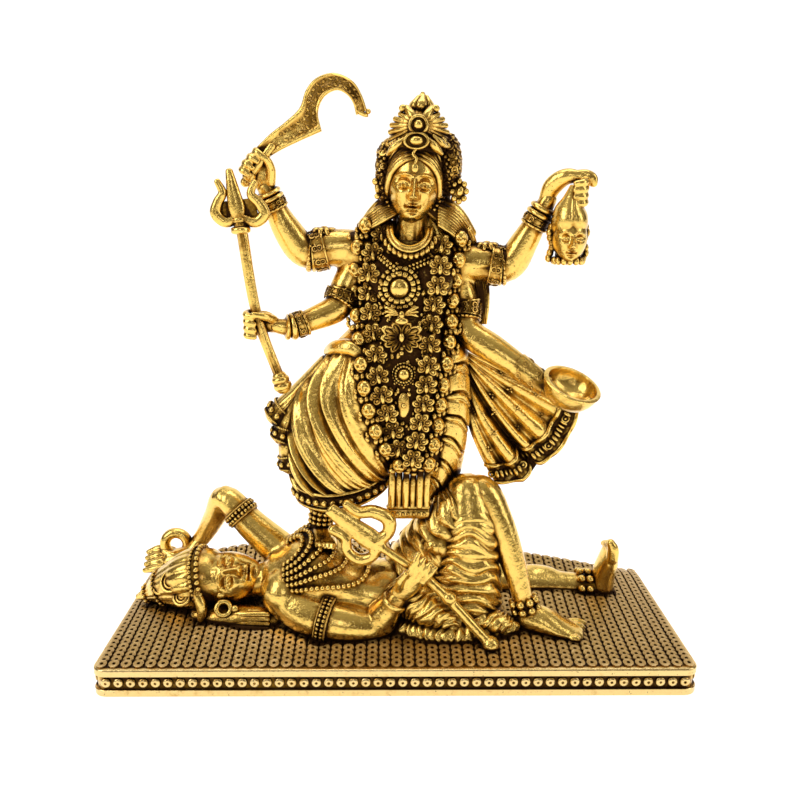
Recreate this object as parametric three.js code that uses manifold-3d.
// A small cast metal idol: a four-armed woman standing on a reclining man, on a rectangular plinth.
// Millimetres, +Z up. The origin is the middle of the plinth's underside, +X is to the viewer's right and
// -Y to the viewer. Each figure's pose is in hundredths of its own size, from the plinth's middle.
import * as THREE from 'three';
import { mergeVertices } from 'three/addons/utils/BufferGeometryUtils.js';
import Module from 'manifold-3d';

const wasm = await Module();
wasm.setup();

// Driving dimensions in millimetres
const plinthWidth = 153;
const plinthDepth = 58;
const plinthHeight = 7.6; // to the straight front edge of the top
const plinthCorner = 3.5; // radius of the upright corners
const plinthEdge = 0.6; // how far the top and bottom edges are rolled in
const plinthLip = 1.4; // plain lip round the swelling top
const moundRise = 12.5; // how far the top swells up towards the back
const bandHeight = 3.6; // recessed band that holds the bead row
const bandRecess = 0.8; // its depth, which its beads fill
const beadDiameter = 2.7;
const beadPitch = 3.1;
const standingHeight = 115; // sole to crown tip
const standingBase = 33.1; // height of that sole above the underside of the plinth
const recliningLength = 138; // crown tip to heel
const recliningBase = 7.1; // height that its places are given from, a little below the lip of the plinth
const bowlDiameter = 14.6;
const bowlDepth = 6.4;
const bowlWall = 0.9;
const bladeThickness = 1.7; // the sword's blade
const seatGap = 0.3; // left between two castings where one seats on the other

const FRONT = new THREE.Vector3(0, -1, 0);
const UP = new THREE.Vector3(0, 0, 1);
const TURN = 2 * Math.PI;
const MERGE = 1e-4;
const bandBevel = 0.7; // share of a bracelet's width that is at its full height
const finestForm = 0.35; // edges shorter than this, in millimetres, are left out of the figures

// Solids

// A closed three.js geometry as a solid, its shared corners merged and its empty triangles dropped
function solidOf(geometry) {
  const bare = geometry.clone();
  bare.deleteAttribute('normal');
  bare.deleteAttribute('uv');
  const merged = mergeVertices(bare, MERGE);
  const index = merged.index.array;
  const kept = [];
  for (let i = 0; i < index.length; i += 3) {
    const [a, b, c] = [index[i], index[i + 1], index[i + 2]];
    if (a !== b && b !== c && c !== a) kept.push(a, b, c);
  }
  const vertProperties = new Float32Array(merged.attributes.position.array);
  return new wasm.Manifold(new wasm.Mesh({ numProp: 3, vertProperties, triVerts: new Uint32Array(kept) }));
}

function geometryOf(solid) {
  const mesh = solid.getMesh();
  const geometry = new THREE.BufferGeometry();
  geometry.setAttribute('position', new THREE.BufferAttribute(mesh.vertProperties, 3));
  geometry.setIndex(new THREE.BufferAttribute(mesh.triVerts, 1));
  geometry.computeVertexNormals();
  return geometry;
}

function centreOf(ring) {
  const centre = new THREE.Vector3();
  for (const point of ring) centre.add(point);
  return centre.divideScalar(ring.length);
}

// A skin over closed rings with as many points each, and a fan over each end. It is turned right side out.
function loft(rings) {
  const sides = rings[0].length;
  const points = rings.flat();
  const index = [];
  for (let r = 0; r + 1 < rings.length; r += 1) {
    for (let s = 0; s < sides; s += 1) {
      const [a, b] = [r * sides + s, r * sides + (s + 1) % sides];
      index.push(a, b, b + sides, a, b + sides, a + sides);
    }
  }
  const last = (rings.length - 1) * sides;
  const [first, end] = [points.length, points.length + 1];
  points.push(centreOf(rings[0]), centreOf(rings.at(-1)));
  for (let s = 0; s < sides; s += 1) {
    const next = (s + 1) % sides;
    index.push(first, next, s);
    index.push(end, last + s, last + next);
  }
  const geometry = new THREE.BufferGeometry().setFromPoints(points);
  geometry.setIndex(index);
  return rightSideOut(geometry);
}

function rightSideOut(geometry) {
  const at = geometry.attributes.position;
  const index = geometry.index.array;
  const corner = (i) => new THREE.Vector3().fromBufferAttribute(at, index[i]);
  let volume = 0;
  for (let i = 0; i < index.length; i += 3) volume += corner(i).dot(corner(i + 1).cross(corner(i + 2)));
  if (volume < 0) {
    for (let i = 0; i < index.length; i += 3) [index[i], index[i + 1]] = [index[i + 1], index[i]];
  }
  return solidOf(geometry);
}

const join = (solids) => wasm.Manifold.union(solids);

// Of a figure that was trimmed by its neighbour, the body itself without its finest edges and loose crumbs
function mainBody(solid) {
  return solid.simplify(finestForm).decompose().sort((a, b) => b.volume() - a.volume())[0];
}

// Tools that carve one figure. Places and radii are hundredths of its size, and unit turns them into
// millimetres. Swell, in millimetres, makes every form fatter, for the room that a neighbour leaves.
function carver(unit, swell) {
  const place = ([x, y, z]) => new THREE.Vector3(x, y, z).multiplyScalar(unit);
  const width = (radius) => radius * unit + swell;
  const pair = (radius) => (Array.isArray(radius) ? radius : [radius, radius]);

  // A limb through some places. A radius is one number, or one across and one towards the viewer. A band,
  // such as a bracelet, is [share of the way, reach to both sides, extra radius].
  function limb(places, radii, { sides = 6, steps = 1, front = FRONT, ripple = () => 0, bands = [] } = {}) {
    const curve = new THREE.CatmullRomCurve3(places.map(place), false, 'centripetal');
    const spans = (places.length - 1) * steps;
    const ring = ([share, extra]) => {
      const tangent = curve.getTangent(share);
      const across = new THREE.Vector3().crossVectors(tangent, front).normalize();
      const facing = new THREE.Vector3().crossVectors(across, tangent);
      const k = Math.min(Math.floor(share * (radii.length - 1)), radii.length - 2);
      const part = share * (radii.length - 1) - k;
      const [from, to] = [pair(radii[k]), pair(radii[k + 1])];
      const wide = width(from[0] + (to[0] - from[0]) * part + extra);
      const deep = width(from[1] + (to[1] - from[1]) * part + extra);
      const middle = curve.getPoint(share);
      return Array.from({ length: sides }, (_, s) => {
        const angle = (s / sides) * TURN;
        const swellOut = 1 + ripple(share, angle);
        return middle.clone()
          .addScaledVector(across, Math.cos(angle) * wide * swellOut)
          .addScaledVector(facing, Math.sin(angle) * deep * swellOut);
      });
    };
    const even = Array.from({ length: spans + 1 }, (_, i) => [i / spans, 0]);
    const free = even.filter(([share]) => bands.every(([at, reach]) => Math.abs(share - at) > reach * 1.2));
    const edges = bands.flatMap(([at, reach, extra]) => {
      const flat = reach * bandBevel;
      return [[at - reach, 0], [at - flat, extra], [at + flat, extra], [at + reach, 0]];
    });
    return loft([...free, ...edges].sort((a, b) => a[0] - b[0]).map(ring));
  }

  // An egg-shaped form, turned by three angles in degrees about X, Y and Z
  function ball(middle, radii, turn = [0, 0, 0], [around, down] = [6, 4]) {
    const [rx, ry, rz] = Array.isArray(radii) ? radii : [radii, radii, radii];
    const geometry = new THREE.SphereGeometry(1, around, down).rotateX(Math.PI / 2);
    geometry.scale(width(rx), width(ry), width(rz));
    const angles = turn.map((degrees) => THREE.MathUtils.degToRad(degrees));
    geometry.applyMatrix4(new THREE.Matrix4().makeRotationFromEuler(new THREE.Euler(...angles)));
    const spot = place(middle);
    return solidOf(geometry.translate(spot.x, spot.y, spot.z));
  }

  // A round ornament that faces the viewer
  const boss = (middle, [wide, high, proud], around = 7, down = 3) => {
    return ball(middle, [wide, high, proud], [90, 0, 0], [around, down]);
  };

  // A small bead with few sides
  const bead = (middle, radius) => {
    const spot = place(middle);
    return solidOf(new THREE.OctahedronGeometry(width(radius), 0).translate(spot.x, spot.y, spot.z));
  };

  // A ring that faces along its axis
  function hoop(middle, axis, radius, thickness, [round, tube] = [8, 4]) {
    const geometry = new THREE.TorusGeometry(radius * unit, width(thickness), tube, round);
    const facing = new THREE.Vector3(...axis).normalize();
    geometry.applyQuaternion(new THREE.Quaternion().setFromUnitVectors(UP, facing));
    const spot = place(middle);
    return solidOf(geometry.translate(spot.x, spot.y, spot.z));
  }

  // Four curled fingers side by side, as one ribbed form from the first knuckle to the last
  const fist = (from, to, radius, front = FRONT) => limb([from, to], [radius, radius], {
    sides: 4, steps: 8, front, ripple: (share) => -0.16 * Math.cos(4 * share * TURN),
  });

  // Copies of a form at even steps along a curve through some places
  function strung(places, count, make) {
    const curve = new THREE.CatmullRomCurve3(places.map((spot) => new THREE.Vector3(...spot)));
    return Array.from({ length: count }, (_, i) => make(curve.getPointAt(i / (count - 1)).toArray(), i));
  }

  return { place, limb, ball, boss, bead, hoop, fist, strung };
}

// Plinth

const halfWidth = plinthWidth / 2;
const halfDepth = plinthDepth / 2;
const bandBottom = (plinthHeight - bandHeight) / 2;
const edgeRound = 0.3; // share of the rolled edge that its middle point keeps

// A rectangle with round corners, drawn in by inset, at height z
function plinthRing(inset, z) {
  const radius = Math.max(plinthCorner - inset, 0.5);
  const [x, y] = [halfWidth - inset - radius, halfDepth - inset - radius];
  const middles = [[x, y], [-x, y], [-x, -y], [x, -y]];
  return middles.flatMap(([cx, cy], quarter) => [0, 1, 2].map((step) => {
    const angle = (quarter + step / 2) * (Math.PI / 2);
    return new THREE.Vector3(cx + radius * Math.cos(angle), cy + radius * Math.sin(angle), z);
  }));
}

// Height of the swelling top. It is highest behind the figure's shoulders, towards the back.
const moundPeak = -plinthWidth * 0.13;
const moundCrest = 0.86; // where, from front to back, it is highest
const [leftFall, rightFall] = [3, 2.4]; // how steeply it drops towards each end
function moundHeight(x, y) {
  const reach = x < moundPeak ? halfWidth + moundPeak : halfWidth - moundPeak;
  const along = 1 - (Math.abs(x - moundPeak) / reach) ** (x < moundPeak ? leftFall : rightFall);
  const share = (y + halfDepth) / plinthDepth;
  const up = Math.min(share / moundCrest, 1) ** 1.4;
  const over = Math.max((share - moundCrest) / (1 - moundCrest), 0) ** 2;
  return plinthHeight + moundRise * Math.max(along, 0) * (up - over);
}

// The swelling top, as a block whose upper side follows moundHeight
function mound(swell) {
  const [stations, rows] = [9, 5];
  const [lengthHalf, depthHalf] = [halfWidth - plinthLip, halfDepth - plinthLip];
  const rings = Array.from({ length: stations + 1 }, (_, i) => {
    const x = lengthHalf * ((2 * i) / stations - 1);
    const top = Array.from({ length: rows + 1 }, (_, j) => {
      const y = depthHalf * ((2 * j) / rows - 1);
      return new THREE.Vector3(x, y, moundHeight(x, y) + swell);
    });
    const foot = [depthHalf, -depthHalf].map((y) => new THREE.Vector3(x, y, bandBottom));
    return [...top, ...foot];
  });
  return loft(rings);
}

// One bead of the row on the floor of the band, as proud as the band is deep
function rowBead(x, y, facing) {
  const flat = 2 * bandRecess / beadDiameter;
  const geometry = new THREE.OctahedronGeometry(beadDiameter / 2, 0);
  geometry.scale(facing.x ? flat : 1, facing.y ? flat : 1, 1);
  return solidOf(geometry.translate(x - facing.x * bandRecess, y - facing.y * bandRecess, plinthHeight / 2));
}

// Beads along the front and both ends, evenly to both sides of the middle. The back is left plain.
function beadRow() {
  const stations = (length) => {
    const gaps = Math.floor((length - 2 * plinthCorner) / beadPitch);
    return Array.from({ length: gaps + 1 }, (_, n) => (n - gaps / 2) * beadPitch);
  };
  const front = stations(plinthWidth).map((x) => rowBead(x, -halfDepth, FRONT));
  const ends = [-1, 1].flatMap((sign) => {
    return stations(plinthDepth).map((y) => rowBead(sign * halfWidth, y, new THREE.Vector3(sign, 0, 0)));
  });
  return [...front, ...ends];
}

// The plinth's block, in a plain form that trims what stands on it, or with its band and beads
function plinth(swell, plain) {
  const bandTop = bandBottom + bandHeight;
  const roll = plinthEdge * edgeRound;
  const lower = [[plinthEdge, 0], [roll, roll], [0, plinthEdge], [0, bandBottom]];
  const band = [[bandRecess, bandBottom], [bandRecess, bandTop]];
  const upper = lower.map(([inset, z]) => [inset, plinthHeight - z]).reverse();
  const profile = [...lower, ...band, ...upper];
  const block = loft(profile.map(([inset, z]) => plinthRing(inset - swell, z + (z > bandTop ? swell : 0))));
  return join([block, mound(swell), ...(plain ? [] : beadRow())]);
}

// Reclining figure: hundredths of its length, heights from the straight edge of the plinth's top

// The trunk's places and its half widths across and upwards, from the neck to the hips
const lyingPlaces = [[-27, -1, 10], [-18, -1, 10.5], [-7, -2, 8], [1, -2, 7.2], [8, -1, 7]];
const lyingWidths = [[6, 4.2], [9, 8.4], [7.6, 5.6], [7.8, 5.4], [8, 5.5]];

// A place on the trunk's skin at share along it, at an angle in degrees from the viewer's side upwards
function onTrunk(share, degrees, lift) {
  const places = lyingPlaces.map((place) => new THREE.Vector3(...place));
  const curve = new THREE.CatmullRomCurve3(places, false, 'centripetal');
  const middle = curve.getPoint(share);
  const k = Math.min(Math.floor(share * 4), 3);
  const part = share * 4 - k;
  const [from, to] = [lyingWidths[k], lyingWidths[k + 1]];
  const [wide, high] = from.map((width, n) => width + (to[n] - width) * part + lift);
  const angle = THREE.MathUtils.degToRad(degrees);
  return [middle.x, middle.y - wide * Math.cos(angle), middle.z + high * Math.sin(angle)];
}

// Bead strands that hang in nested loops from the neck over the chest
function chestStrands(c) {
  return [0.16, 0.26, 0.36, 0.6].map((reach, n) => {
    const spread = 24 + 11 * n;
    const loop = [-1, -0.7, 0, 0.7, 1].map((side) => {
      return onTrunk(0.04 + reach * Math.sqrt(1 - side * side), 62 + spread * side, 0.4);
    });
    return c.limb(loop, [0.7, 0.7], { sides: 4, front: UP });
  });
}

// A raised line or feature of a face
const feature = { sides: 4, front: UP };

function lyingHead(c) {
  const skull = c.ball([-34.9, -1.4, 8.8], [6.6, 4.9, 4.9], [35, 0, 0], [8, 5]);
  const nose = c.limb([[-36.5, -5.2, 11.8], [-34.2, -6.4, 13.2]], [0.7, 1.1], { sides: 4 });
  const brow = c.limb([[-37.4, -3, 13.4], [-37.8, -5.2, 12], [-37.4, -6.4, 8.6]], [0.5, 0.7, 0.5], feature);
  const lips = c.limb([[-31.8, -3.9, 12.2], [-31.6, -5.4, 11.2], [-31.8, -6, 9.4]], [0.5, 0.7, 0.5], feature);
  const crown = c.limb(
    [[-38.6, -1, 8.2], [-42, -0.4, 7.2], [-46, 0.8, 5.6], [-50, 2, 4], [-53.4, 3, 2.6]],
    [5.6, 5, 4, 2.4, 0.8],
    { sides: 8, ripple: (share, angle) => 0.1 * Math.cos(4 * angle), bands: [[0.08, 0.05, 0.5]] },
  );
  const hair = c.limb(
    [[-39, -4.5, 2], [-33, -6.8, 1.8], [-27, -7.6, 1.6], [-24, -6.8, 2.4]],
    [[2, 2.4], [2.4, 2.6], [2.4, 2.4], [1.8, 2]],
    { front: UP, ripple: (share, angle) => 0.08 * Math.cos(3 * angle) },
  );
  const earring = c.hoop([-36, -6.9, 4.2], [0.2, -1, 0.5], 1.5, 0.5, [6, 3]);
  const neck = c.limb([[-31, -1.4, 8.6], [-24, -1.2, 9.6]], [3, 3.6]);
  return [skull, nose, brow, lips, crown, hair, earring, neck];
}

function ringArm(c) {
  const arm = c.limb(
    [[-25, 4.4, 12.5], [-31, 6.5, 18], [-36, 8.8, 23], [-39.4, 12, 17], [-43, 15, 10.4], [-45, 15.8, 7]],
    [3.6, 3, 2.6, 2.2, 1.8, 1.7],
    { bands: [[0.25, 0.035, 0.6]] },
  );
  const palm = c.limb(
    [[-43.6, 15.2, 9], [-46, 16, 6], [-50, 16.6, 4.4], [-54.4, 16.8, 4.6]],
    [[1.7, 1.7], [2.4, 2], [2.6, 1.8], [1.4, 1]],
    { front: UP },
  );
  const grip = c.fist([-52.6, 14.6, 5.6], [-52.6, 18.2, 5.6], 1.2, UP);
  const ring = c.hoop([-48.4, 15.9, 9.2], [0, -1, 0.1], 2.6, 0.7, [9, 3]);
  return [arm, palm, grip, ring];
}

// The near arm lies on the plinth and its hand holds a small trident up across the body
function tridentArm(c) {
  const arm = c.limb(
    [[-24.4, -5.6, 7.4], [-17, -8.4, 4.8], [-9, -10, 3.6], [-3, -9.8, 3.2], [-1, -10.4, 6], [1, -11, 10],
      [3.2, -11.4, 13]],
    [4.4, 4.6, 4.2, 3.6, 3, 2.4, 2],
    { bands: [[0.24, 0.03, 0.5], [0.9, 0.02, 0.4]] },
  );
  const palmPath = [[2.8, -11.2, 12.4], [5, -11.8, 15], [7.6, -11.8, 18]];
  const palm = c.limb(palmPath, [[1.8, 1.2], [2.1, 1.3], [1.2, 0.9]]);
  const grip = c.fist([7, -13, 16.2], [4.6, -13.2, 12.6], 1.3);
  const shaft = c.limb([[-4.4, -10.9, 21], [6.4, -12.6, 13.6], [18, -15, 1.6]], [0.9, 0.95], { sides: 5 });
  const middlePath = [[-4, -10.9, 20.8], [-7.6, -10.2, 23.2], [-11.9, -9.4, 26.3]];
  const middle = c.limb(middlePath, [0.9, 1.2, 0.6], { sides: 5 });
  const prongPaths = [
    [[-4.6, -10.9, 21], [-1.8, -10.4, 24], [-3.2, -10.2, 26.3], [-6.4, -9.8, 26.2], [-9.1, -9.4, 27.7]],
    [[-4.2, -10.9, 20.6], [-5.6, -10.7, 18.2], [-8, -10.4, 18.2], [-9.3, -10, 21.6], [-12, -9.4, 22.8]],
  ];
  const prongs = prongPaths.map((path) => c.limb(path, [0.8, 0.9, 0.9, 0.9, 0.6], { sides: 4 }));
  const knob = c.ball([17.7, -15, 1.8], 1.5);
  return [arm, palm, grip, shaft, middle, ...prongs, knob];
}

// Folds run round the cloth, so the ripple goes along it, and each fold slants a little
const foldSlant = 0.9; // radians
const clothFolds = (count, depth) => (share, angle) => {
  return depth * Math.cos(share * count * TURN + Math.sin(angle) * foldSlant);
};

function lyingLegs(c) {
  const thigh = c.limb(
    [[4, -1, 8], [8, -2, 17], [12.4, -3, 25], [15, -3.2, 28]],
    [[8, 7], [6.4, 6.4], [4.6, 5], [3, 3.4]],
    { steps: 2, ripple: clothFolds(3, 0.06) },
  );
  const cloth = c.limb(
    [[14.4, -3, 27], [14.4, -5.4, 17], [13.6, -6.6, 8], [12.4, -6.6, 2.4]],
    [[3.6, 4], [5.4, 4.6], [7, 4.6], [9, 4]],
    { steps: 3, ripple: clothFolds(4.5, 0.07) },
  );
  const shin = c.limb(
    [[13.6, -3.2, 28.4], [16.4, -3.4, 28.2], [19.6, -4.8, 23], [22.2, -6.2, 16], [25, -8, 6.6],
      [25.8, -8.2, 3.4]],
    [2.6, 3.2, 2.9, 2.4, 1.8, 2],
    { bands: [[0.8, 0.03, 0.7]] },
  );
  const foot = c.limb(
    [[24.4, -7.4, 2.4], [28, -8.6, 3.4], [33, -9.4, 2], [36.4, -9.4, 1.4]],
    [[2.2, 2.4], [2.5, 2.8], [1.6, 3], [1, 2.4]],
    { front: UP },
  );
  const straight = c.limb(
    [[6, 3, 6], [16, 5.4, 5.4], [27, 6.4, 4.4], [36, 6.6, 3.8], [43.6, 6.6, 3.4]],
    [6, 4.8, 3.5, 2.7, 2.5],
    { bands: [[0.85, 0.035, 0.5]] },
  );
  const upright = c.limb(
    [[44.2, 6.6, 1.6], [44.2, 6.2, 6], [44.8, 5.8, 10], [44.9, 5.6, 13.6]],
    [[2.6, 2.4], [2.7, 2], [2, 1.5], [1, 0.8]],
  );
  const skirtEdge = c.limb(
    [[1, -9, 2], [8, -10.4, 1.6], [16, -9.8, 1.8], [22.4, -9.4, 2.4]],
    [[1.6, 2], [2, 2.4], [2, 2.6], [1.8, 2]],
    { front: UP },
  );
  return [thigh, cloth, shin, foot, straight, upright, skirtEdge];
}

function reclining(swell) {
  const c = carver(recliningLength / 100, swell);
  const trunk = c.limb(lyingPlaces, lyingWidths, { sides: 8, front: UP, bands: [[0.74, 0.03, 0.6]] });
  const limbs = [...ringArm(c), ...tridentArm(c), ...lyingLegs(c)];
  return join([trunk, ...chestStrands(c), ...lyingHead(c), ...limbs]).translate(0, 0, recliningBase);
}

// Standing figure: hundredths of its height, heights from its sole

// Rings of the trunk, the skirt and the apron from below upwards, as [x, y, z, half width, half depth]
const trunkLevels = [
  [1.5, 2, 34, 13, 7.4], [1.5, 2, 43, 12.8, 7.4], [1.8, 2.4, 51, 11.4, 6.2],
  [2.2, 2.6, 59, 11.6, 6.4], [2.8, 2.4, 65, 12.2, 5.4], [3.2, 1.6, 68.6, 6.5, 4.6],
];
const skirtLevels = [
  [-13, 0.6, 9, 10.4, 8.4], [-13.1, 0.6, 14, 12.7, 9.6], [-12, 0.6, 21.5, 14.2, 9.8],
  [-9.4, 0.6, 29.4, 15.2, 9.6], [-5.6, 0.6, 36, 15.4, 9.2], [-2.4, 0.6, 41.5, 14.4, 8.6],
  [-1, 0.6, 46, 12.6, 7.6],
];
const apronLevels = [
  [4.2, -2, 17, 5.6, 5.8], [3.4, -2, 24, 7, 6.2], [3, -1.6, 32, 8.4, 6.6], [2.6, -0.6, 43, 9, 6.4],
];

// How far forward one of them reaches at x and z, as a y, or Infinity where z misses it
function frontOf(levels, x, z) {
  if (z < levels[0][2] || z > levels.at(-1)[2]) return Infinity;
  const k = Math.max(levels.findIndex((level) => level[2] >= z), 1);
  const [below, above] = [levels[k - 1], levels[k]];
  const part = (z - below[2]) / (above[2] - below[2]);
  const [middle, depth, , wide, deep] = below.map((value, n) => value + (above[n] - value) * part);
  const share = Math.min(Math.abs(x - middle) / wide, 0.96);
  return depth - deep * Math.sqrt(1 - share * share);
}

// A place in front of the body at x and z, proud of it by lift
const bodyTop = trunkLevels.at(-1)[2];
function onBody(x, z, lift) {
  const height = Math.min(z, bodyTop);
  const fronts = [trunkLevels, skirtLevels, apronLevels].map((levels) => frontOf(levels, x, height));
  return [x, Math.min(...fronts) - lift, z];
}

function standingHead(c) {
  const neck = c.limb([[3, 1.4, 66], [3.3, 0.6, 76]], [3.3, 3.2]);
  const face = c.ball([3.6, 0, 80.2], [5.8, 6, 7.9], [0, 4, 0], [8, 6]);
  const nose = c.limb([[3.7, -5.2, 81.4], [3.4, -6.9, 78.2]], [0.6, 1], { sides: 4 });
  const lipPath = [[1.8, -5.1, 75.6], [3.3, -5.7, 75.3], [4.9, -5.1, 75.6]];
  const lips = c.limb(lipPath, [0.4, 0.7, 0.4], { sides: 4 });
  const brows = [-1, 1].map((side) => c.limb(
    [[3.7 + side * 0.8, -5.8, 82.4], [3.7 + side * 2.6, -5.4, 83.2], [3.7 + side * 4.4, -4, 82.4]],
    [0.3, 0.5, 0.3],
    { sides: 4 },
  ));
  const hair = c.limb(
    [[4.8, 2, 92], [5.2, 2.8, 84], [5.4, 3.4, 76], [7.4, 5.4, 68], [11.4, 6.4, 60], [14, 6.6, 50]],
    [[5.4, 4.6], [9, 6.4], [9.4, 6], [10, 4.4], [8.6, 3.2], [6, 2.4]],
    { sides: 10, ripple: (share, angle) => 0.05 * Math.cos(5 * angle) },
  );
  const lockPath = [[-1.4, 1.6, 77], [-5, 1.4, 73.4], [-8.6, 1.2, 71.4]];
  const lock = c.limb(lockPath, [[2.4, 1.8], [2, 1.6], [1.6, 1.4]]);
  return [neck, face, nose, lips, ...brows, hair, lock];
}

function crown(c) {
  const tiers = c.limb(
    [[4.2, 0.4, 87.6], [4.6, 0.6, 90.4], [4.8, 0.8, 93], [5, 1, 95], [5.4, 1.2, 97.4], [5.6, 1.3, 99]],
    [[8.2, 7.2], [7.2, 6.6], [5.6, 5], [3.4, 3.4], [2.6, 2.6], [0.9, 0.9]],
    { sides: 10, ripple: (share, angle) => 0.06 * Math.cos(5 * angle) },
  );
  const leaves = [-1, 1].flatMap((side) => [0, 1, 2].map((n) => {
    const middle = [4.8 + side * (3.6 + 1.2 * n), -2.4, 95.2 - 2.8 * n];
    return c.ball(middle, [1.1, 1.2, 2.4], [0, side * (22 + 30 * n), 0], [4, 2]);
  }));
  const round = c.boss([4.3, -5, 92.7], [2.3, 2.3, 1.6]);
  const oval = c.boss([3.9, -6.6, 89.3], [2.9, 2, 1.5]);
  const studs = [c.ball([-4.4, 0.6, 80.6], [1.3, 1.5, 1.6]), c.ball([14.4, 0.8, 79.6], [2.2, 1.6, 3])];
  const fillet = c.limb(
    [[-2.4, -2.6, 81.6], [-1.6, -4.2, 85.8], [3.8, -5.8, 88.2], [9.2, -4.2, 85.8], [9.8, -2.6, 81.6]],
    [0.8, 0.8, 0.9, 0.8, 0.8],
    { sides: 4 },
  );
  return [tiers, ...leaves, round, oval, ...studs, fillet];
}

// Closed rings over some levels, with one change of radius for each level and side
function bell(c, levels, sides, shape) {
  return loft(levels.map(([x, y, z, wide, deep], level) => Array.from({ length: sides }, (_, s) => {
    const { turn = 0, fold = 0, rise = 0 } = shape(level / (levels.length - 1), s / sides, s);
    const angle = (s / sides + turn) * TURN;
    const out = 1 + fold;
    return c.place([x + Math.cos(angle) * wide * out, y + Math.sin(angle) * deep * out, z + rise]);
  })));
}

function trunkAndLegs(c) {
  const trunk = bell(c, trunkLevels, 10, () => ({}));
  const shoulders = [[-8.6, 2.6, 65.6], [14.4, 2.6, 63.4]].map((spot) => c.ball(spot, [4.4, 4, 4.5]));
  const chest = [-1, 1].map((side) => c.boss([3 + side * 5.2, -2.8, 60.4], [4.2, 4.2, 3.4]));
  const waist = c.limb([[-15.4, 1, 42.4], [-12, -3.6, 43.8], [-8.4, -6, 44.4]], [2.2, 2.3, 1.6]);
  const rightLeg = c.limb(
    [[10.5, 1.6, 42], [13.2, 1.2, 32], [12.6, 0.8, 24], [11, 1.4, 15], [8.6, 2, 7], [6.4, 2.4, 1]],
    [[6.4, 6.4], [5.2, 5.6], [4.8, 5.2], [4.4, 4.6], [3.4, 3.6], [2.2, 2.4]],
    { ripple: clothFolds(2.5, 0.05) },
  );
  const rightFoot = c.limb([[6.4, 2.6, 0], [3.4, 0.6, -1], [1.4, -1, -2]], [[2.2, 2], [2.2, 1.5], [1.6, 1]]);
  const anklePath = [[-15.6, 0.4, 12], [-17.6, 0.2, 5], [-18.2, 0, 0.6]];
  const leftAnkle = c.limb(anklePath, [3.6, 2.6, 2.2], { bands: [[0.6, 0.1, 0.5]] });
  const footPath = [[-18.2, 1.2, 0.4], [-17.4, -2.6, 0.2], [-16.8, -6, -1]];
  const leftFoot = c.limb(footPath, [[2.1, 1.7], [2.2, 1.4], [2, 0.9]], { front: UP });
  return [trunk, ...shoulders, ...chest, waist, rightLeg, rightFoot, leftAnkle, leftFoot];
}

// The skirt bells out over the leg on the viewer's left. A ridge and a groove take turns round it and sweep
// down from the hip, and its hem drops towards that side.
const skirtSweep = 0.14; // how far round the folds have swept at the hem, as a share of a turn
const hemDrop = 3.6;
const hemRise = (across) => hemDrop * (across + across ** 2) / 2;
function skirt(c) {
  const bellShape = (share, around, s) => {
    const turn = skirtSweep * (1 - share);
    const across = Math.cos((around + turn) * TURN);
    const depth = (Math.sin((around + turn) * TURN) < 0 ? 0.05 : 0.03) * Math.min((1 - share) * 4, 1);
    return { turn, fold: s % 2 ? depth : -depth, rise: hemRise(across) * (1 - share) ** 3 };
  };
  const [x, y, z, wide, deep] = skirtLevels[0];
  const hem = Array.from({ length: 12 }, (_, n) => {
    const angle = (0.5 + n / 26) * TURN;
    const [across, forward] = [Math.cos(angle), Math.sin(angle)];
    return c.bead([x + across * wide, y + forward * deep, z + hemRise(across)], 1.5);
  });
  const tipPaths = [
    [[-18, 1.4, 38], [-24, 2, 30], [-28.4, 2, 26.4]],
    [[-20, 1, 34], [-25, 1.6, 26], [-27.4, 1.6, 22]],
    [[-22, 0.6, 28], [-25.4, 1, 20], [-26.6, 1, 15.6]],
  ];
  const tips = tipPaths.map((path) => c.limb(path, [[1.6, 2.6], [2, 2.8], [1.9, 2.4]]));
  return [bell(c, skirtLevels, 24, bellShape), ...hem, ...tips];
}

// The sash spreads like a fan from the waist, in pleats that end in a broad hem
function sash(c) {
  const [fromAngle, toAngle] = [-23, -77];
  const pleats = 6;
  const apex = [13.6, 44];
  const hemStart = 0.88;
  const reaches = [0.12, 0.5, hemStart, hemStart + 0.005, 1];
  const rings = reaches.map((reach) => {
    const rim = reach > hemStart ? 0.5 : 0;
    const side = (back) => Array.from({ length: pleats * 2 + 1 }, (_, s) => {
      const share = s / (pleats * 2);
      const angle = THREE.MathUtils.degToRad(fromAngle + (toAngle - fromAngle) * share);
      const length = (32.4 + 3.6 * Math.sin(Math.PI * share)) * reach;
      const pleat = 0.9 * reach * (s % 2 ? -1 : 1);
      const y = 3 + pleat * (back ? 0.6 : 1) + (back ? 1.1 + rim : -1.1 - rim);
      return c.place([apex[0] + length * Math.cos(angle), y, apex[1] + length * Math.sin(angle)]);
    });
    return [...side(false), ...side(true).reverse()];
  });
  return [loft(rings)];
}

// Two broad bracelets below the wrist of a raised arm, and the armlet above its elbow
const raisedBands = (armlet, bracelets) => [[armlet, 0.045, 0.6], ...bracelets.map((at) => [at, 0.035, 0.6])];

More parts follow.
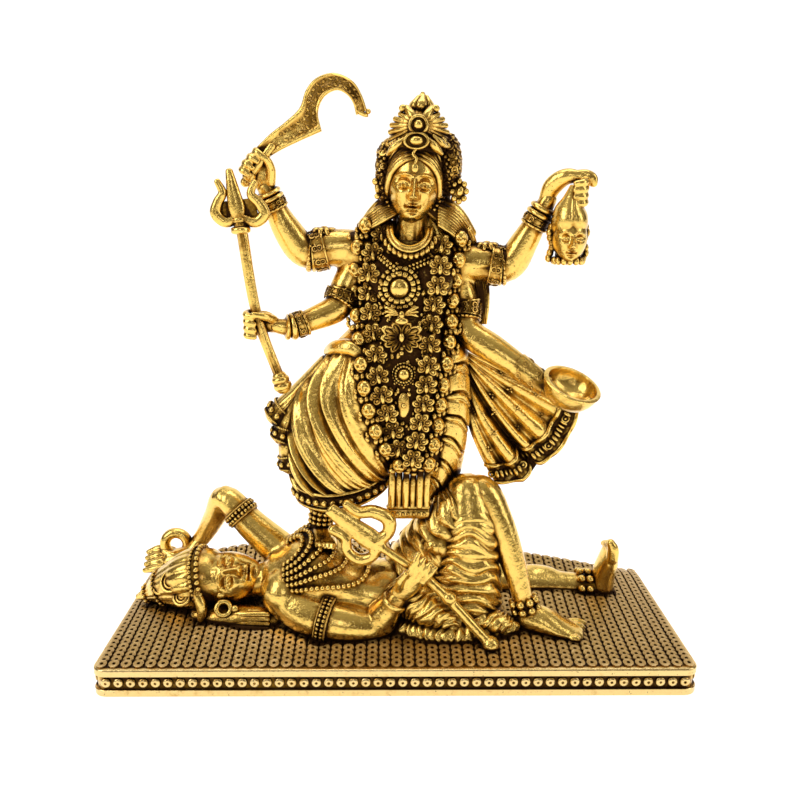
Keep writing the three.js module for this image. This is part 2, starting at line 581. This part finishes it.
function swordArm(c) {
  const arm = c.limb(
    [[-6, 3.4, 66], [-14, 3.2, 66.6], [-20.6, 2.8, 65.8], [-24.4, 2, 70.4], [-27, 1.2, 75.6],
      [-28.8, 0.4, 79.6]],
    [4.2, 4.2, 3.8, 3.3, 2.4, 2],
    { bands: raisedBands(0.29, [0.75, 0.87]) },
  );
  const palmPath = [[-28.4, 0.6, 78.6], [-30, -0.2, 82.4], [-30.4, -0.6, 85.4]];
  const palm = c.limb(palmPath, [[2, 1.5], [2.4, 1.6], [1.8, 1.3]]);
  const grip = c.fist([-29, -1.6, 87.4], [-33.4, -1.6, 82.6], 2);
  const thumbPath = [[-28.4, -0.4, 80.6], [-27.6, -1.4, 83.6], [-28.6, -2.2, 86]];
  const thumb = c.limb(thumbPath, [1, 0.9, 0.8], { sides: 4 });
  const handle = c.limb([[-26.6, -0.9, 88], [-32.8, -0.9, 81]], [1.1, 1.1]);
  return [arm, palm, grip, thumb, handle];
}

// The sword's blade widens from the grip, hooks over to its tip and has a spur inside the hook
function blade(c, unit) {
  const flat = (points) => points.map(([x, z]) => new THREE.Vector2(x, z));
  const outline = new THREE.Shape();
  outline.moveTo(-27.4, 86);
  outline.lineTo(-30.2, 88);
  outline.splineThru(flat([
    [-27.3, 90.7], [-24.2, 93], [-20.9, 96], [-19.4, 99.7], [-17.3, 102], [-13.5, 103.1], [-9.5, 101.5],
    [-7.6, 98.7], [-6.8, 95.9],
  ]));
  outline.lineTo(-5.9, 95.3);
  outline.lineTo(-8.1, 94.3);
  outline.lineTo(-9.1, 95.3);
  outline.splineThru(flat([
    [-9.7, 97.2], [-10.9, 98.8], [-12.9, 99.6], [-14.7, 98.9], [-16.1, 97.3], [-17, 95], [-16.7, 93],
    [-16, 91.3],
  ]));
  outline.lineTo(-21.7, 88.9);
  outline.closePath();
  const geometry = new THREE.ExtrudeGeometry(outline, {
    depth: bladeThickness / unit, curveSegments: 2, bevelEnabled: false,
  });
  geometry.rotateX(Math.PI / 2).scale(unit, unit, unit);
  return [solidOf(geometry.translate(0, c.place([0, -0.2, 0]).y, 0))];
}

function trident(c) {
  const y = -5.4;
  const shaftPath = [[-33.6, y, 73], [-33.4, y, 71.4], [-30.6, y, 52], [-25.6, y, 37]];
  const shaft = c.limb(shaftPath, [1.3, 1.3, 1.25, 1.2], { bands: [[0.33, 0.012, 0.7]] });
  const middle = c.limb([[-33.8, y, 73], [-34.4, y, 77.4], [-35.6, y, 82.6]], [2.2, 1.7, 0.9], { sides: 5 });
  const prongPaths = [
    [[-33.8, y, 73.2], [-37.6, y, 72.6], [-39.4, y, 74.6], [-37.6, y, 77.6], [-38.1, y, 81]],
    [[-33.4, y, 73.2], [-29.6, y, 72.6], [-27.8, y, 74.4], [-30.6, y, 77.6], [-30.1, y, 81]],
  ];
  const prongs = prongPaths.map((path) => c.limb(path, [1.1, 1.1, 1.1, 1.1, 0.9], { sides: 5 }));
  const web = c.limb([[-33.7, y, 72.6], [-34.3, y, 78]], [[4, 0.5], [3.6, 0.5]], { sides: 4 });
  const knob = c.ball([-25.5, y, 36.5], [1.9, 1.9, 2], [0, 20, 0]);
  return [shaft, middle, ...prongs, web, knob];
}

function tridentHand(c) {
  const arm = c.limb(
    [[-8.4, 3, 63], [-11.4, 2, 58], [-13.4, 0.4, 53.6], [-18.6, -1.8, 51.2], [-23.8, -3.6, 49.6],
      [-27, -4.4, 50]],
    [3.8, 3.6, 3.3, 2.7, 2, 1.7],
    { bands: [[0.24, 0.04, 0.6], [0.72, 0.05, 0.6]] },
  );
  const palmPath = [[-26, -4, 50.2], [-29.4, -3.8, 51], [-31.8, -4.2, 50.4]];
  const palm = c.limb(palmPath, [[1.8, 1.3], [2.2, 1.3], [1.6, 1.2]]);
  const grip = c.fist([-31.8, -5.4, 52.4], [-31, -5.4, 47.2], 1.7);
  const thumbPath = [[-27.8, -5, 51.6], [-29.6, -6.8, 52.2], [-31, -7.2, 51.8]];
  const thumb = c.limb(thumbPath, [0.9, 0.9, 0.7], { sides: 4 });
  return [arm, palm, grip, thumb];
}

// The raised arm that holds a severed head by its hair
function headArm(c) {
  const arm = c.limb(
    [[12.4, 3.4, 63.6], [19.6, 3.2, 63.2], [25.2, 2.8, 63], [28.4, 1.8, 68], [31, 0.8, 73.2],
      [33.2, 0, 77.6]],
    [4.2, 4.2, 3.8, 3.2, 2.4, 2],
    { bands: raisedBands(0.24, [0.73, 0.85]) },
  );
  const palm = c.limb(
    [[32.8, 0.2, 76.8], [35, -1.2, 80.6], [38, -2.4, 82.4], [42, -3, 81.6]],
    [[2, 1.4], [2.2, 1.6], [2, 1.8], [1.2, 1.2]],
  );
  const grip = c.fist([39.6, -4.2, 81.4], [39.4, -4.2, 76.2], 1.8);
  const hair = c.limb([[37, -3, 81], [37.1, -3.6, 77], [37.3, -4.2, 72.6]], [[1, 1], [2.4, 2.4], [3.9, 3.8]]);
  const head = c.ball([37.3, -4.3, 69], [3.9, 3.9, 5.2], [0, 0, 0], [7, 5]);
  const nose = c.limb([[37.4, -7.9, 70.2], [37.3, -8.9, 68]], [0.5, 0.8], { sides: 4 });
  const frill = c.limb([[37.4, -4.2, 65.4], [37.4, -4.2, 63.2]], [[3, 3], [3.3, 3.2]], {
    sides: 10, ripple: (share, angle) => 0.08 * Math.cos(5 * angle),
  });
  return [arm, palm, grip, hair, head, nose, frill];
}

function bowlArm(c) {
  const arm = c.limb(
    [[13.4, 3.2, 59.6], [16.8, 2.8, 54], [16.4, 0.6, 48.6], [21.6, -2.4, 44.6], [27, -4.6, 41.2],
      [32, -7.4, 37.8], [34.6, -9, 35.8]],
    [3.8, 3.7, 3.5, 3.3, 3, 2.6, 2.2],
    { bands: [[0.13, 0.04, 0.6], [0.66, 0.02, 0.5]] },
  );
  const fingerPath = [[34, -8.6, 36], [36.6, -9.4, 34.2], [39.6, -9.8, 33.4]];
  const fingers = c.limb(fingerPath, [[2.4, 1.4], [2.8, 1.2], [2, 0.9]], { front: UP });
  return [arm, fingers];
}

// A thin bowl, tipped towards the viewer and to the right. Inside is the space that it holds.
const bowlTip = [22, 18]; // degrees
function bowl(c, inside) {
  const outer = bowlDiameter / 2;
  const inner = outer - bowlWall;
  const floor = bowlDepth * 0.22;
  const curve = (radius, low, steps) => Array.from({ length: steps + 1 }, (_, i) => {
    const angle = (i / steps) * (Math.PI / 2);
    const height = low + (bowlDepth - low) * (1 - Math.cos(angle));
    return new THREE.Vector2(radius * Math.sin(angle) ** 0.8, height);
  });
  const above = bowlDepth * 1.4;
  const profile = inside
    ? [...curve(inner, floor, 4), new THREE.Vector2(outer, above), new THREE.Vector2(0, above)]
    : [...curve(outer, 0, 4), new THREE.Vector2(0, bowlDepth)];
  const geometry = new THREE.LatheGeometry(profile, 12).rotateX(Math.PI / 2);
  geometry.translate(0, 0, -bowlDepth);
  geometry.rotateX(THREE.MathUtils.degToRad(bowlTip[0])).rotateY(THREE.MathUtils.degToRad(bowlTip[1]));
  const rim = c.place([38.2, -10.6, 38.2]);
  return solidOf(geometry.translate(rim.x, rim.y, rim.z));
}

// Two long garlands, one of skulls and one of flowers, meet in front of the skirt above a tassel of cords
function garlands(c) {
  const skull = ([x, , z]) => c.bead(onBody(x, z, 0.5), 1.7);
  const flower = ([x, , z]) => c.boss(onBody(x, z, 0.5), [2, 2, 1.7], 4, 2);
  const skullRuns = [
    [[-8, 68], [-9.2, 62], [-9.4, 53], [-8.6, 43], [-6.6, 32], [-2.8, 23], [1, 18.4]],
    [[13.2, 67.4], [12.6, 60], [11.8, 50], [10.6, 40], [9, 29.5], [6.6, 20.4]],
  ];
  const flowerRuns = [
    [[-5.2, 66.6], [-6, 57], [-4.8, 46], [-3.8, 38], [-1.6, 30], [0.6, 22.6]],
    [[9.8, 67], [8.4, 58], [6.8, 47], [6.2, 38], [5, 29], [3.4, 20]],
  ];
  const onRun = (run) => run.map(([x, z]) => [x, 0, z]);
  const skulls = skullRuns.flatMap((run) => c.strung(onRun(run), 12, skull));
  const flowers = flowerRuns.flatMap((run) => c.strung(onRun(run), 11, flower));
  const apron = bell(c, apronLevels, 8, () => ({}));
  const tassel = c.limb([[3.4, -6.4, 19], [3.2, -7, 5]], [[4.4, 1.4], [5, 1.4]], {
    sides: 12, ripple: (share, angle) => 0.08 * Math.cos(6 * angle),
  });
  const tasselHem = c.limb([[-1.8, -7, 4.8], [8.2, -7, 4.8]], [1.5, 1.5], { sides: 4, front: UP });
  return [...skulls, ...flowers, apron, tassel, tasselHem];
}

function ornaments(c) {
  const collar = c.limb(
    [[-1.4, -0.6, 71], [-1, -3.2, 68.6], [3, -5.4, 66.4], [7, -3.2, 68.4], [7.6, -0.6, 71]],
    [0.9, 1, 1.1, 1, 0.9],
    { sides: 5 },
  );
  const dropPlaces = [[-3.4, 0, 66.8], [-1, 0, 64.6], [3, 0, 63.8], [7, 0, 64.6], [9.4, 0, 66.8]];
  const drops = c.strung(dropPlaces, 8, ([x, , z]) => c.bead(onBody(x, z, 0.6), 1.5));
  const bosses = [
    c.boss([0.4, -6.2, 58.6], [4.4, 4.4, 1.7], 10),
    c.boss([0.4, -7.4, 58.6], [2.1, 2.1, 1.5]),
    c.boss(onBody(0.8, 48.4, 0.6), [4, 4.6, 1.8]),
    c.boss(onBody(1.2, 40.6, 0.6), [2.4, 2.4, 1.6]),
  ];
  return [collar, ...drops, ...bosses];
}

function standing() {
  const unit = standingHeight / 100;
  const c = carver(unit, 0);
  const body = [...trunkAndLegs(c), ...standingHead(c), ...crown(c)];
  const arms = [...swordArm(c), ...tridentHand(c), ...headArm(c), ...bowlArm(c)];
  const held = [...blade(c, unit), ...trident(c), bowl(c, false)];
  const dress = [...skirt(c), ...sash(c), ...garlands(c), ...ornaments(c)];
  return join([...body, ...arms, ...held, ...dress]).subtract(bowl(c, true)).translate(0, 0, standingBase);
}

// Assembly

function casting(name, solid, colour) {
  const finish = new THREE.MeshStandardMaterial({ color: colour, metalness: 1, roughness: 0.35 });
  const mesh = new THREE.Mesh(geometryOf(solid), finish);
  mesh.name = name;
  return mesh;
}

const bed = plinth(seatGap, true);
const lyingSolid = mainBody(reclining(0).subtract(bed));
const standingSolid = mainBody(standing().subtract(reclining(seatGap)).subtract(bed));

const idol = new THREE.Group();
idol.add(casting('plinth', plinth(0, false), 0xb98a32));
idol.add(casting('reclining_figure', lyingSolid, 0xc4963a));
idol.add(casting('standing_figure', standingSolid, 0xcda145));

export default idol;
